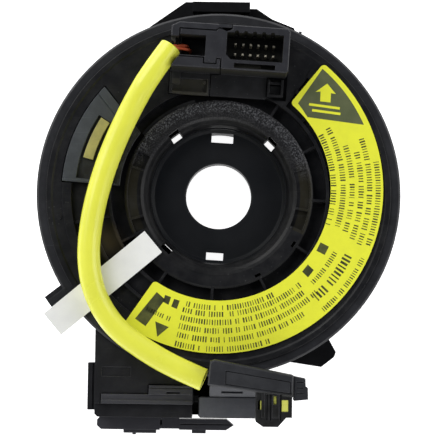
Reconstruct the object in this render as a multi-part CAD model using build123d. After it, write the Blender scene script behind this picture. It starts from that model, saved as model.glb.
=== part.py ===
"""Steering clock spring: a turning disc with a wound flat cable inside a fixed round case.

The fixed half snaps to the steering column's combination switch.
The turning half follows the steering wheel, 2.5 turns each way from the middle.
Millimetres. +Z is the steering shaft's axis, towards the driver. The origin is on that
axis, at the rear end of the spigot that centres the case on the switch.
Most turning pieces are drawn square to X and Y, then turned together by PARK_TURN.
"""
import os
from math import cos, hypot, pi, radians, sin, tan

from build123d import *

os.makedirs("parts", exist_ok=True)

# ---------------------------------------------------------------- driving dimensions
# fixed case
CASE_R = 52.5            # outside of the round wall
CASE_WALL = 2.0
RIM_TOP = 20.0           # flat front rim, above the rear end of the spigot
RIM_WIDTH = 3.9
RIM_T = 1.8
SEAT_Z = 3.0             # plane that seats on the switch
PLATE_T = 2.0
SPIGOT_WALL = 2.0        # of the collar that centres the case on the switch

# hub and shaft bore
BORE_R = 9.6
BORE_LEN = 6.0
JOURNAL_R = 21.9         # the turning hub in the plate's hole
JOURNAL_CLEAR = 0.08
DISH_T = 2.0
HUB_REAR = 1.0           # rear end of the hub
FLANGE_T = 1.6
HUB_WALL = 1.1           # thin front wall of the hub, inside the hub ring

# turning disc
ROTOR_GAP = 0.4
FLOOR_T = 1.5
HUB_RING_T = 2.0
GROOVE_DEPTH = 2.7       # of the groove round the hub ring, below the floor's top
DRUM_WALL = 1.4
PARK_TURN = -3.0         # degrees that the disc is parked at, from the case's middle

# connector pod on the disc
POD_HEIGHT = 11.5        # above the rim
POD_LEFT = -16.3
POD_RIGHT = 17.4
POD_DEPTH = 12.7
SEAM = 0.25              # moulded pieces that snap together stand this far apart
PIN_PITCH = 2.2
PIN_ROWS = 2.9
PIN_W = 0.64
PIN_FIT = 0.01           # each side, between a pin and its hole
SOCKET_L = 16.1
SOCKET_W = 7.8

# grey cover over the lead's joint
LEAD_COVER_A0 = 140.5
LEAD_COVER_A1 = 179.0
LEAD_COVER_SLANT = 8.6   # degrees that its upper edge is turned from the radius

# label and tape
LABEL_T = 0.15
LABEL_BAND = 15.1
LABEL_SHIFT = 1.45       # the label is stuck on a little off centre
TAPE_W = 7.9
TAPE_L = 37.3
TAPE_T = 0.2

# flat cable
CABLE_T = 0.25
CABLE_HALF_TURNS = 16

# connector block, outside the case at the lower left
BLOCK_LEFT = -35.0
BLOCK_RIGHT = -6.5
BLOCK_REACH = 12.1       # how far its front face stands out from the case
JOINT_BOX_L = 17.0
JOINT_BOX_GAP = 1.5      # between the block and the joint box
PIN_TIP_Z = 4.5

# airbag lead and the plug on its end
SLEEVE_D = 6.5
WIRE_D = 0.9
PLUG_HEIGHT = 10.7
PLUG_NOSE_W = 10.1
PLUG_NOSE_L = 9.9

# ---------------------------------------------------------------- sizes that follow
PLATE_TOP = SEAT_Z + PLATE_T
LIP_R = CASE_R - RIM_WIDTH
ROTOR_R = LIP_R - ROTOR_GAP
FLOOR_Z = RIM_TOP - 2.6  # underside of the disc's floor
FLOOR_TOP = FLOOR_Z + FLOOR_T
GROOVE_TOP = FLOOR_TOP - GROOVE_DEPTH
GROOVE_BOTTOM = GROOVE_TOP - 1.3
EDGE_LOW = RIM_TOP + 0.3 # underside of the disc's edge, which reaches over the case's rim
EDGE_R = LIP_R + 1.1
RIB_TOP = EDGE_LOW + 0.4 # ribs that carry the face label, and the disc's edge
FIELD_TOP = RIB_TOP - 0.4 # plain parts of the disc's face
HUB_RING_TOP = RIM_TOP - 0.5
PLATE_HOLE_R = JOURNAL_R + JOURNAL_CLEAR
FLANGE_R = JOURNAL_R + 1.8
SPIGOT_R = FLANGE_R + 2.5
DISH_R = JOURNAL_R - 2.3
DISH_TOP = RIM_TOP - 9.5
DISH_BOTTOM = DISH_TOP - DISH_T
DRUM_R = JOURNAL_R + 5.3
DRUM_OUT = DRUM_R + DRUM_WALL
LABEL_IN = ROTOR_R - 16.0
LEAD_COVER_TOP = RIM_TOP + 0.8
LEAD_COVER_IN = DRUM_R + 1.4
LEAD_COVER_OUT = ROTOR_R - 3.0
CABLE_IN = DRUM_OUT + 0.6
CABLE_PITCH = (CASE_R - CASE_WALL - 2.6 - CABLE_IN) * 2 / (CABLE_HALF_TURNS + 1)
POD_TOP = RIM_TOP + POD_HEIGHT
POD_OUT_Y = ROTOR_R - 0.9
POD_IN_Y = POD_OUT_Y - POD_DEPTH
PIN_TOP = POD_TOP - 5.5
SOCKET_FLOOR = POD_TOP - 9.9
WINDOW_FLOOR = POD_TOP - 9.5
SOCKET_Y = POD_OUT_Y - 2.1 - SOCKET_W / 2
SOCKET_X = POD_RIGHT - 1.8 - SOCKET_L / 2
BLOCK_FRONT = -(CASE_R + BLOCK_REACH)
BLOCK_TOP = RIM_TOP - 3.5
JOINT_BOX_TOP = RIM_TOP - 4.5
JOINT_TOP = RIM_TOP - 4.8
PLUG_BOTTOM = RIB_TOP + 0.3
PLUG_TOP = PLUG_BOTTOM + PLUG_HEIGHT
GROWTH = CASE_R / 52.5   # the lead's route widens with the case
SLEEVE_LOW = RIB_TOP + 0.5 + SLEEVE_D / 2
LEAD_ROUTE = [
    (POD_LEFT + 2.0, POD_IN_Y + 6.5, POD_TOP - 4.3),
    (-20.0 * GROWTH, 33.0 * GROWTH, SLEEVE_LOW + 4.6),
    (-25.3 * GROWTH, 23.8 * GROWTH, SLEEVE_LOW + 1.6),
    (-29.9 * GROWTH, 14.0 * GROWTH, SLEEVE_LOW + 0.1),
    (-33.4 * GROWTH, 4.0 * GROWTH, SLEEVE_LOW),
    (-36.0 * GROWTH, -7.0 * GROWTH, SLEEVE_LOW),
    (-37.1 * GROWTH, -18.5 * GROWTH, SLEEVE_LOW),
    (-35.2 * GROWTH, -29.2 * GROWTH, SLEEVE_LOW),
    (-29.4 * GROWTH, -38.6 * GROWTH, SLEEVE_LOW),
    (-20.4 * GROWTH, -45.1 * GROWTH, SLEEVE_LOW),
    (-11.5 * GROWTH, -50.0 * GROWTH, SLEEVE_LOW),
    (-3.6 * GROWTH, -53.2 * GROWTH, SLEEVE_LOW + 0.7),
]
PLUG_X = LEAD_ROUTE[-1][0] + 3.6
PLUG_Y = LEAD_ROUTE[-1][1] + 53.2


# ---------------------------------------------------------------- shapes used throughout
def cube(x0, x1, y0, y1, z0, z1):
    """A box between two corners."""
    middle = Pos((x0 + x1) / 2, (y0 + y1) / 2, (z0 + z1) / 2)
    return middle * Box(x1 - x0, y1 - y0, z1 - z0)


def slab(points, z0, z1):
    """A flat outline raised from z0 to z1."""
    return extrude(Pos(0, 0, z0) * Polygon(*points, align=None), z1 - z0, dir=(0, 0, 1))


def turned(points):
    """A ring turned from a section of (radius, height) points."""
    return revolve(Plane.XZ * Polygon(*points, align=None), axis=Axis.Z)


def ring(r_in, r_out, z0, z1):
    return turned([(r_in, z0), (r_out, z0), (r_out, z1), (r_in, z1)])


def drum(radius, z0, z1):
    return Pos(0, 0, (z0 + z1) / 2) * Cylinder(radius, z1 - z0)


def sector(r_in, r_out, a0, a1, z0, z1):
    """Part of a flat ring, between two angles in degrees."""
    outer = CenterArc((0, 0), r_out, a0, a1 - a0)
    inner = CenterArc((0, 0), r_in, a0, a1 - a0)
    ends = Line(outer @ 0, inner @ 0) + Line(outer @ 1, inner @ 1)
    return extrude(Pos(0, 0, z0) * make_face(outer + inner + ends), z1 - z0, dir=(0, 0, 1))


def polar(radius, angle):
    return (radius * cos(radians(angle)), radius * sin(radians(angle)))


def parked(shape):
    return Rot(0, 0, PARK_TURN) * shape


# windows beside the hub's snap hooks, that light falls through:
# angle, inner and outer radius, outer radius of the slot under the window
HOOK_HALF = 1.65
HOOKS = [
    (48.2, JOURNAL_R - 2.2, JOURNAL_R + 0.45, JOURNAL_R + 0.8),
    (130.0, JOURNAL_R - 2.2, JOURNAL_R + 0.45, JOURNAL_R + 0.8),
    (230.2, JOURNAL_R - 1.3, JOURNAL_R + 0.6, JOURNAL_R - 0.75),
]


# ---------------------------------------------------------------- fixed half
TONGUE_ANGLES = [18, 62, 118, 162, 198, 300, 342]
TONGUE_W = 6.0
JOINT_A0, JOINT_A1 = -127.0, -111.0


def outer_ring():
    """The round wall with its flat front rim, tongues for the plate and the tape's ear."""
    inside = CASE_R - CASE_WALL
    chamfer = 0.6
    body = turned([
        (inside, PLATE_TOP), (CASE_R, PLATE_TOP), (CASE_R, RIM_TOP - chamfer),
        (CASE_R - chamfer, RIM_TOP), (LIP_R + 0.4, RIM_TOP), (LIP_R, RIM_TOP - 0.4),
        (LIP_R, RIM_TOP - RIM_T), (inside, RIM_TOP - RIM_T),
    ])
    tongue = cube(inside + 0.2, CASE_R - 0.8, -TONGUE_W / 2, TONGUE_W / 2, SEAT_Z + 0.2, PLATE_TOP)
    body += [Rot(0, 0, a) * tongue for a in TONGUE_ANGLES]
    nib = cube(CASE_R - 0.5, CASE_R + 0.5, -0.4, 0.4, RIM_TOP - 3, RIM_TOP - 0.8)
    body += Rot(0, 0, 64) * nib
    # ear that the transit tape is stuck to
    ear_r = CASE_R + 5.3
    ear = cube(CASE_R - 1.0, ear_r, -5.2, 3.8, RIM_TOP - 2.2, RIM_TOP + 0.3)
    ear += cube(CASE_R - 1.0, ear_r - 1.2, -1.9, -0.7, PLATE_TOP + 3, RIM_TOP - 2.2)
    ear += cube(ear_r - 1.2, ear_r, -6.6, -5.2, RIM_TOP - 6.0, RIM_TOP - 0.9)
    ear += cube(CASE_R - 1.0, ear_r, -6.6, -5.2, RIM_TOP - 2.2, RIM_TOP - 0.9)
    body += Rot(0, 0, -142) * (ear - drum(CASE_R - 0.7, 0, RIM_TOP + 5))
    # window that the cable's outer joint comes through
    body -= sector(inside - 1, CASE_R + 1, JOINT_A0 - 0.4, JOINT_A1 + 0.4, PLATE_TOP - 1, JOINT_TOP + 0.2)
    return body


def rear_plate():
    """The back of the case: hole, spigot, top tab and side ear."""
    plate = ring(PLATE_HOLE_R, CASE_R, SEAT_Z, PLATE_TOP)
    edge = CASE_R - 3.0
    top = CASE_R + 6.1
    tab = [(-24.0, edge - 4), (-21.2, edge + 1.5), (-10.6, top), (8.6, top), (8.6, top - 1.8),
           (10.7, top - 1.8), (15.2, top - 4.8), (21.8, edge + 1.7), (25.0, edge - 5)]
    plate += slab(tab, SEAT_Z, PLATE_TOP) - drum(CASE_R - 1, 0, RIM_TOP)
    latch = cube(-8.4, 8.6, CASE_R + 2.5, top - 0.6, PLATE_TOP, PLATE_TOP + 4.2)
    latch -= cube(-6.9, 7.1, CASE_R + 2.0, top - 1.8, PLATE_TOP + 1.2, PLATE_TOP + 3.2)
    plate += latch
    ear = [(19.0, -45.0), (20.0, -(CASE_R - 4.4)), (31.0, -(CASE_R - 2.8)), (34.8, -(CASE_R - 5.8)),
           (35.3, -(CASE_R - 7.3)), (33.2, -(CASE_R - 11)), (28.0, -40.0)]
    plate += slab(ear, SEAT_Z, PLATE_TOP) - drum(CASE_R - 1, 0, RIM_TOP)
    plate += ring(SPIGOT_R - SPIGOT_WALL, SPIGOT_R, 0, SEAT_Z)
    # slots for the ring's tongues
    slot = cube(CASE_R - CASE_WALL, CASE_R - 0.6, -TONGUE_W / 2 - 0.2, TONGUE_W / 2 + 0.2, 0, RIM_TOP)
    plate -= [Rot(0, 0, a) * slot for a in TONGUE_ANGLES]
    # notches in the hole's edge, under the hub's windows while the disc is parked
    for angle, r_in, r_out, r_slot in HOOKS[:2]:
        notch = cube(r_in, r_slot, -HOOK_HALF - 0.7, HOOK_HALF + 0.7, 0, PLATE_TOP + 1)
        plate -= Rot(0, 0, angle + PARK_TURN) * notch
    return plate


def block_tray():
    """The plate under the connector block, which its sockets pass through."""
    front = BLOCK_FRONT + 0.4
    right = BLOCK_RIGHT + JOINT_BOX_GAP + JOINT_BOX_L
    tongue = [(BLOCK_LEFT, -36), (BLOCK_LEFT, front), (right, front), (right, -48), (-5, -45)]
    tray = slab(tongue, SEAT_Z, PLATE_TOP) - drum(CASE_R + 0.05, 0, RIM_TOP)
    return tray - socket_block(0.2, SEAT_Z - 3, PLATE_TOP + 1)


SHROUD_WALL = 1.2
SHROUD_D = 8.6           # across the rear sockets, front to back
MAIN_X0, MAIN_X1 = -32.0, -19.6
BAG_X1 = -11.4


def socket_block(clearance, z0, z1):
    """Outside of the two rear sockets."""
    y1 = BLOCK_FRONT + 1.6 + SHROUD_D
    return cube(MAIN_X0 - clearance, BAG_X1 + clearance,
                y1 - SHROUD_D - clearance, y1 + clearance, z0, z1)


def connector_block():
    """The block beside the case, with two sockets that open to the rear."""
    gap = drum(CASE_R + 0.25, 0, RIM_TOP + 5)
    body = cube(BLOCK_LEFT, BLOCK_RIGHT, BLOCK_FRONT + 3.9, -38.0, PLATE_TOP, BLOCK_TOP)
    step = slab([(BLOCK_LEFT + 0.9, BLOCK_FRONT), (BLOCK_RIGHT - 0.3, BLOCK_FRONT),
                 (BLOCK_RIGHT - 0.3, BLOCK_FRONT + 3.9), (BLOCK_LEFT, BLOCK_FRONT + 3.9),
                 (BLOCK_LEFT, BLOCK_FRONT + 0.9)], PLATE_TOP, BLOCK_TOP - 1.0)
    body += step
    body += cube(BLOCK_LEFT - 0.8, BLOCK_LEFT, BLOCK_FRONT + 1.9, BLOCK_FRONT + 15.5, 8, 13)
    body += cube(BLOCK_LEFT - 2.2, BLOCK_LEFT - 0.8, BLOCK_FRONT + 1.9, BLOCK_FRONT + 15.5, 7, 13.6)
    body -= gap
    # hollow that takes the cable's outer joint
    body -= sector(CASE_R - 3, CASE_R + 5.2, JOINT_A0 - 0.6, JOINT_A1 + 0.6, PLATE_TOP - 1, JOINT_TOP + 0.2)
    # face details: a shallow bare panel and the seat of the stepped cover
    y = BLOCK_FRONT
    body -= cube(-33.0, -24.6, y + 11.7, y + 14.4, BLOCK_TOP - 0.25, BLOCK_TOP + 1)
    body -= cube(-33.2, BLOCK_RIGHT + 1, y + 3.7, y + 6.9, BLOCK_TOP - 1.5, BLOCK_TOP + 1)
    body -= cube(-19.6, BLOCK_RIGHT + 1, y + 3.7, y + 9.6, BLOCK_TOP - 1.5, BLOCK_TOP + 1)
    # sockets
    body += socket_block(0, 0, PLATE_TOP)
    y0 = BLOCK_FRONT + 1.6 + SHROUD_WALL
    y1 = y0 + SHROUD_D - 2 * SHROUD_WALL
    body -= cube(MAIN_X0 + SHROUD_WALL, MAIN_X1 - SHROUD_WALL / 2, y0, y1, -1, 11)
    body -= cube(MAIN_X1 + SHROUD_WALL / 2, BAG_X1 - SHROUD_WALL, y0, y1, -1, 11)
    return body


def block_cover():
    """The stepped strip that snaps over the block."""
    y = BLOCK_FRONT
    z0 = BLOCK_TOP - 1.5
    strip = cube(-33.0, BLOCK_RIGHT - 0.2, y + 3.9, y + 6.7, z0, BLOCK_TOP + 0.5)
    strip += cube(-33.0, BLOCK_RIGHT - 0.2, y + 3.9, y + 4.9, z0, BLOCK_TOP + 1.0)
    raised = cube(-19.3, BLOCK_RIGHT - 0.2, y + 6.7, y + 9.3, z0, BLOCK_TOP + 0.9)
    raised -= cube(-14.2, -10.3, y + 6.9, y + 7.5, BLOCK_TOP, BLOCK_TOP + 2)
    raised -= cube(-19.4, BLOCK_RIGHT, y + 8.3, y + 8.7, BLOCK_TOP + 0.6, BLOCK_TOP + 2)
    return strip + raised


def block_clip():
    """The long low strip along the block's front, with a pointed free end."""
    y = BLOCK_FRONT
    outline = [(-33.6, y), (-34.7, y - 1.2), (-34.7, y - 2.9), (-33.5, y - 4.0), (-16.3, y - 4.0),
               (-16.3, y - 3.6), (-10.6, y - 3.6), (-10.6, y - 3.9), (3.1, y - 3.9),
               (5.4, y - 2.4), (3.3, y - 0.7), (-10.6, y - 0.7), (-10.6, y)]
    strip = slab(outline, SEAT_Z, PLATE_TOP + 3)
    strip -= cube(-16.2, -15.6, y - 2.6, y - 1.0, PLATE_TOP + 1.5, PLATE_TOP + 4)
    strip -= cube(-10.4, 4.5, y - 2.4, y - 2.1, PLATE_TOP + 2.2, PLATE_TOP + 4)
    strip += cube(-27.0, -17.4, y - 5.1, y - 4.0, SEAT_Z, PLATE_TOP + 1)
    strip += cube(-24.4, -23.4, y - 5.6, y - 4.0, SEAT_Z, PLATE_TOP + 0.4)
    strip += cube(-6.9, -2.8, y - 5.0, y - 3.9, SEAT_Z, PLATE_TOP + 1)
    return strip


def joint_box():
    """The smooth box beside the block, where the rear leads are joined."""
    x0 = BLOCK_RIGHT + JOINT_BOX_GAP
    x1 = x0 + JOINT_BOX_L
    y = BLOCK_FRONT
    box = cube(x0, x1, y + 0.1, y + 6.3, PLATE_TOP, JOINT_BOX_TOP)
    box = chamfer(box.edges().filter_by(Axis.Z), 0.6)
    box += cube(x0 + 3, x1 - 0.4, y + 6.3, y + 9.4, PLATE_TOP, JOINT_BOX_TOP - 1)
    box -= drum(CASE_R + 0.25, 0, RIM_TOP + 5)
    # web that ties the box to the block across the dark gap
    box += cube(BLOCK_RIGHT, x0, y + 4.4, y + 6.3, PLATE_TOP, PLATE_TOP + 6)
    box -= cube(x0 + 1.2, x1 - 1.2, y + 1.3, y + 5.1, PLATE_TOP + 1.2, JOINT_BOX_TOP + 1)
    box -= cube(x0 + 1.2, x1 - 1.2, y + 1.3, y + 5.1, PLATE_TOP - 1, PLATE_TOP + 2)
    return box


def joint_box_lid():
    """The box's lid: a flat plug with a sloped front facet."""
    x0 = BLOCK_RIGHT + JOINT_BOX_GAP
    x1 = x0 + JOINT_BOX_L
    y = BLOCK_FRONT
    section = [(y + 0.7, JOINT_BOX_TOP), (y + 6.0, JOINT_BOX_TOP + 0.3), (y + 9.2, JOINT_BOX_TOP + 3.2),
               (y + 9.5, JOINT_BOX_TOP + 3.2), (y + 9.5, JOINT_BOX_TOP - 0.8), (y + 6.4, JOINT_BOX_TOP - 0.8),
               (y + 6.4, JOINT_BOX_TOP)]
    facet = extrude(Plane.YZ * Polygon(*section, align=None), JOINT_BOX_L - 3.6, dir=(1, 0, 0))
    lid = Pos(x0 + 3.2, 0, 0) * facet
    lid -= cube(x0 + 6.6, x0 + 12.8, y + 7.3, y + 7.9, JOINT_BOX_TOP + 1.0, JOINT_BOX_TOP + 4)
    lid -= drum(CASE_R + 0.25, 0, RIM_TOP + 5)
    flat = cube(x0 + 0.3, x1 - 0.3, y + 0.4, y + 6.0, JOINT_BOX_TOP, JOINT_BOX_TOP + 0.7)
    plug = cube(x0 + 1.35, x1 - 1.35, y + 1.45, y + 4.95, JOINT_BOX_TOP - 2, JOINT_BOX_TOP)
    return lid + flat + plug


def socket_pins(x0, columns, rows):
    """Square pins that hang in a rear socket."""
    y = BLOCK_FRONT + 1.6 + SHROUD_D / 2
    pins = []
    for i in range(columns):
        for j in range(rows):
            px = x0 + i * PIN_PITCH
            py = y + (j - (rows - 1) / 2) * PIN_ROWS
            pins.append(Pos(px, py, (PIN_TIP_Z + 11) / 2) * Box(PIN_W, PIN_W, 11 - PIN_TIP_Z))
    return Compound(children=pins)


def outer_cable_joint():
    """The moulded joint of the cable's outer end, through the ring's window."""
    inner = sector(CASE_R - 4.2, CASE_R - 2.2, JOINT_A0, JOINT_A1, PLATE_TOP + 0.3, JOINT_TOP)
    outer = sector(CASE_R - 2.4, CASE_R + 4.8, JOINT_A0, JOINT_A1, PLATE_TOP, JOINT_TOP)
    return inner + outer


def slip_sheet():
    """Thin sheet that the cable's edge slides on."""
    return ring(CABLE_IN, CASE_R - CASE_WALL - 2.6, PLATE_TOP, PLATE_TOP + CABLE_T)


def flat_cable():
    """The ribbon cable, wound as half circles about two centres, so that each turn steps out."""
    step = CABLE_PITCH / 2
    start = 105.0
    near, far = [], []
    centre = Vector(0, 0)
    radius = CABLE_IN
    angle = start
    last = 127.0
    for i in range(CABLE_HALF_TURNS + 1):
        sweep = 180.0 if i < CABLE_HALF_TURNS else last
        near.append(CenterArc((centre.X, centre.Y), radius, angle, sweep))
        far.append(CenterArc((centre.X, centre.Y), radius + CABLE_T, angle, sweep))
        angle += sweep
        shift = Vector(*polar(step, angle))
        centre = centre - shift
        radius += step
    caps = [Line(near[0] @ 0, far[0] @ 0), Line(near[-1] @ 1, far[-1] @ 1)]
    band = make_face(near + far + caps)
    return extrude(Pos(0, 0, PLATE_TOP + 0.6) * band, GROOVE_BOTTOM - PLATE_TOP - 1.1, dir=(0, 0, 1))


# ---------------------------------------------------------------- turning half
POD_CUT = 0.2
WALLS = [                # concentric ribs: inner radius, outer radius
    (ROTOR_R - 17.2, ROTOR_R - 16.3),
    (ROTOR_R - 11.4, ROTOR_R - 10.5),
    (ROTOR_R - 5.8, ROTOR_R - 3.2),
]
FIELD_A0, FIELD_A1 = -178.0, 57.0


def rotor_cover():
    """The front disc: floor, concentric ribs, hub ring with its pockets, and the cable drum."""
    groove_r = WALLS[0][0]
    body = turned([
        (DRUM_R - 1.2, GROOVE_BOTTOM), (groove_r + 1.0, GROOVE_BOTTOM), (groove_r + 1.0, FLOOR_Z),
        (ROTOR_R - 0.3, FLOOR_Z), (ROTOR_R, FLOOR_Z + 0.3),
        (ROTOR_R, EDGE_LOW), (EDGE_R, EDGE_LOW), (EDGE_R, RIB_TOP - 0.15), (EDGE_R - 0.15, RIB_TOP),
        (ROTOR_R, RIB_TOP), (ROTOR_R - 0.5, FIELD_TOP), (WALLS[2][1] - 0.2, FIELD_TOP),
        (WALLS[2][1] - 0.2, FLOOR_TOP), (groove_r, FLOOR_TOP), (groove_r, GROOVE_TOP),
        (DRUM_R, GROOVE_TOP), (DRUM_R, HUB_RING_TOP - 0.6), (DRUM_R - 1.2, HUB_RING_TOP - 0.6),
    ])
    # concentric ribs under the label; the outermost runs most of the way round
    body += sector(*WALLS[0], FIELD_A0, FIELD_A1, FLOOR_TOP, RIB_TOP - 0.2)
    body += sector(*WALLS[1], FIELD_A0, FIELD_A1, FLOOR_TOP, RIB_TOP)
    body += sector(*WALLS[2], -180.5, FIELD_A1, FLOOR_TOP, RIB_TOP)
    # plain field at the upper left, and the seat of the grey cover
    body += sector(groove_r, WALLS[2][1], FIELD_A1 - 0.5, 153.0, FLOOR_TOP - 0.1, FIELD_TOP)
    body -= lead_cover_zone(0.3, FLOOR_TOP, RIB_TOP + 1)
    spoke = cube(WALLS[0][1] - 0.2, WALLS[2][0] + 0.2, -0.4, 0.4, FLOOR_TOP, RIB_TOP - 0.8)
    body += [Rot(0, 0, a) * spoke for a in (-165, -135, -105, -75, -45, -15, 15, 45)]
    # groove between the hub ring and the label, crossed by short ribs
    short = cube(DRUM_R - 0.2, groove_r + 0.2, -0.35, 0.35, GROOVE_TOP - 0.1, HUB_RING_TOP)
    body += [Rot(0, 0, a) * short for a in range(-150, 61, 30)]
    body += sector(DRUM_R - 0.1, DRUM_R + 1.1, 108, 145, GROOVE_TOP - 0.1, FLOOR_TOP)
    # hub ring, with its bevelled outer edge and a rounded slope down to the hub
    slope_r, slope_z = JOURNAL_R - 2.0, DISH_TOP + 3.1
    run, drop = 3.5, HUB_RING_TOP - slope_z
    slope = [(slope_r + run * (1 - cos(radians(t))), slope_z + drop * sin(radians(t))) for t in range(90, -1, -15)]
    body += turned([
        (JOURNAL_R - 1.0, slope_z), (JOURNAL_R - 1.0, DISH_TOP + 1.5), (JOURNAL_R + 0.3, DISH_TOP + 1.5),
        (JOURNAL_R + 0.3, HUB_RING_TOP - HUB_RING_T),
        (DRUM_R + 0.1, HUB_RING_TOP - HUB_RING_T), (DRUM_R + 0.1, HUB_RING_TOP - 0.4),
        (DRUM_R - 0.5, HUB_RING_TOP), *slope,
    ])
    body += turned([
        (DRUM_R, PLATE_TOP + 0.6), (DRUM_OUT, PLATE_TOP + 0.6),
        (DRUM_OUT, GROOVE_BOTTOM + 0.1), (DRUM_R, GROOVE_BOTTOM + 0.1),
    ])
    body -= sector(DRUM_R - 1, DRUM_OUT + 1, 78, 102, PLATE_TOP, GROOVE_BOTTOM - 0.2)
    # pockets and two short slots in the hub ring
    z = HUB_RING_TOP
    pockets = [(155, 165.4, 1.5), (166.6, 199, 0.5), (200.2, 209, 1.5), (-6, 20, 0.5), (-20, -7.2, 1.5)]
    for a0, a1, deep in pockets:
        body -= sector(JOURNAL_R + 0.7, DRUM_R - 0.9, a0, a1, z - deep, z + 1)
    for a in (-60.5, -30.2):
        body -= sector(DRUM_R - 1.6, DRUM_R - 0.8, a - 2.0, a + 2.0, z - HUB_RING_T - 1, z + 1)
    # windows beside the hub's snap hooks
    for angle, r_in, r_out, r_slot in HOOKS:
        body -= Rot(0, 0, angle) * cube(r_in, r_out, -HOOK_HALF, HOOK_HALF, DISH_TOP, z + 1)
    # boss in the outer trough, and seats for the pod's feet
    body += Pos(*polar(ROTOR_R - 1.9, 192), 0) * drum(0.7, FLOOR_TOP, RIB_TOP)
    pod_zone = cube(POD_LEFT - POD_CUT, POD_RIGHT + POD_CUT, POD_IN_Y - POD_CUT, POD_OUT_Y + POD_CUT,
                    FLOOR_TOP, RIB_TOP + 2)
    body -= pod_zone
    foot_zone = cube(POD_LEFT - POD_CUT, POD_RIGHT + POD_CUT, DRUM_R + 0.8, POD_IN_Y, FLOOR_TOP, RIB_TOP + 2)
    body -= foot_zone
    # holes that the connector's pins and the lead's wires pass down through
    body -= cube(SOCKET_X - 7, SOCKET_X + 7, SOCKET_Y - 2.6, SOCKET_Y + 2.6, FLOOR_Z - 1, FLOOR_TOP + 1)
    # snap loop for the connector's foot
    y = POD_IN_Y
    loop = cube(12.0, 16.6, y - 5.7, y - 0.6, FLOOR_TOP, FLOOR_TOP + 2.7)
    loop -= cube(12.7, 15.9, y - 5.0, y, FLOOR_TOP + 0.4, FLOOR_TOP + 3)
    loop += cube(12.0, 16.6, y - 2.0, y - 1.3, FLOOR_TOP + 1.2, FLOOR_TOP + 2.2)
    loop -= cube(11.9, 12.8, y - 4.6, y - 2.8, FLOOR_TOP + 0.3, FLOOR_TOP + 1.2)
    body += loop
    return body


def hub_sleeve():
    """The rear hub: bore, dished face with windows, journal and retaining flange."""
    rear = HUB_REAR
    bore_wall = 1.8
    body = turned([
        (BORE_R, DISH_TOP - BORE_LEN), (BORE_R + bore_wall, DISH_TOP - BORE_LEN),
        (BORE_R + bore_wall, DISH_BOTTOM), (DISH_R - 0.6, DISH_BOTTOM), (DISH_R - 0.6, rear),
        (FLANGE_R, rear), (FLANGE_R, rear + FLANGE_T), (JOURNAL_R, rear + FLANGE_T),
        (JOURNAL_R, DISH_TOP + 1.3), (DISH_R + HUB_WALL, DISH_TOP + 1.3),
        (DISH_R + HUB_WALL, DISH_TOP + 2.8), (DISH_R, DISH_TOP + 2.8),
        (DISH_R, DISH_TOP + 0.7), (DISH_R - 0.8, DISH_TOP - 0.1),
        (BORE_R + 0.3, DISH_TOP), (BORE_R, DISH_TOP - 0.3),
    ])
    slots = cube(-3.2, 3.2, DISH_R - 3.8, DISH_R - 1.0, 0, DISH_TOP + 5)
    slots += cube(-2.5, 2.5, 0.8 - DISH_R, 3.0 - DISH_R, 0, DISH_TOP + 5)
    for angle, r_in, r_out, r_slot in HOOKS:
        slots += Rot(0, 0, angle) * cube(r_in + 0.3, r_slot, -HOOK_HALF, HOOK_HALF, 0, RIM_TOP)
        slots += Rot(0, 0, angle) * cube(r_in + 0.3, r_slot, -HOOK_HALF - 0.7, HOOK_HALF + 0.7, 0, DISH_TOP - 1)
    return body - slots


def over_rim():
    """Space kept clear above the case's rim, where the pod hangs over it."""
    return ring(ROTOR_R, CASE_R + 5, FLOOR_TOP - 1, RIM_TOP + 0.35)


def lead_groove():
    """The cradle that the lead's first straight run lies in, open at the top."""
    start = Vector(*LEAD_ROUTE[0])
    run = (Vector(*LEAD_ROUTE[1]) - start).normalized()
    radius = SLEEVE_D / 2 + 0.3
    first = start - run * 1.8
    last = start + run * 14
    side = Vector(-run.Y, run.X, 0).normalized() * radius
    down = Vector(0, 0, -radius)
    up = Vector(0, 0, 8)
    corners = (first + down - side, last + down - side, last + up - side, first + up - side)
    wall = Face(Wire(Polyline(*corners, close=True)))
    return Rot(0, 0, -PARK_TURN) * extrude(wall, 2 * radius, dir=side)


def pod_outline(grow):
    """Outline of the connector's moulding, with the hooked seam on its left."""
    y0, y1 = POD_IN_Y - grow, POD_OUT_Y + grow
    x0, x1 = POD_LEFT + 2.45 - grow, POD_RIGHT + grow
    return [
        (x0, y0 + 3.0), (-6.6 - grow, y0 + 3.0), (-6.6 - grow, y0 + 1.4), (-3.2 + grow, y0 + 1.4),
        (-3.2 + grow, y0 + 2.9), (-1.7 - grow, y0 + 2.9), (-1.7 - grow, y0), (x1 - 0.6, y0),
        (x1, y0 + 0.6), (x1, y1 - 0.9), (x1 - 0.8, y1 - 0.1), (0.9 - grow, y1), (0.9 - grow, y1 - 1.2),
        (-0.6, y1 - 1.9), (-2.0 + grow, y1 - 1.3), (-2.9, y1 - 1.2), (-3.6, y1 - 1.9), (x0, y1 - 1.9),
    ]


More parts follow.
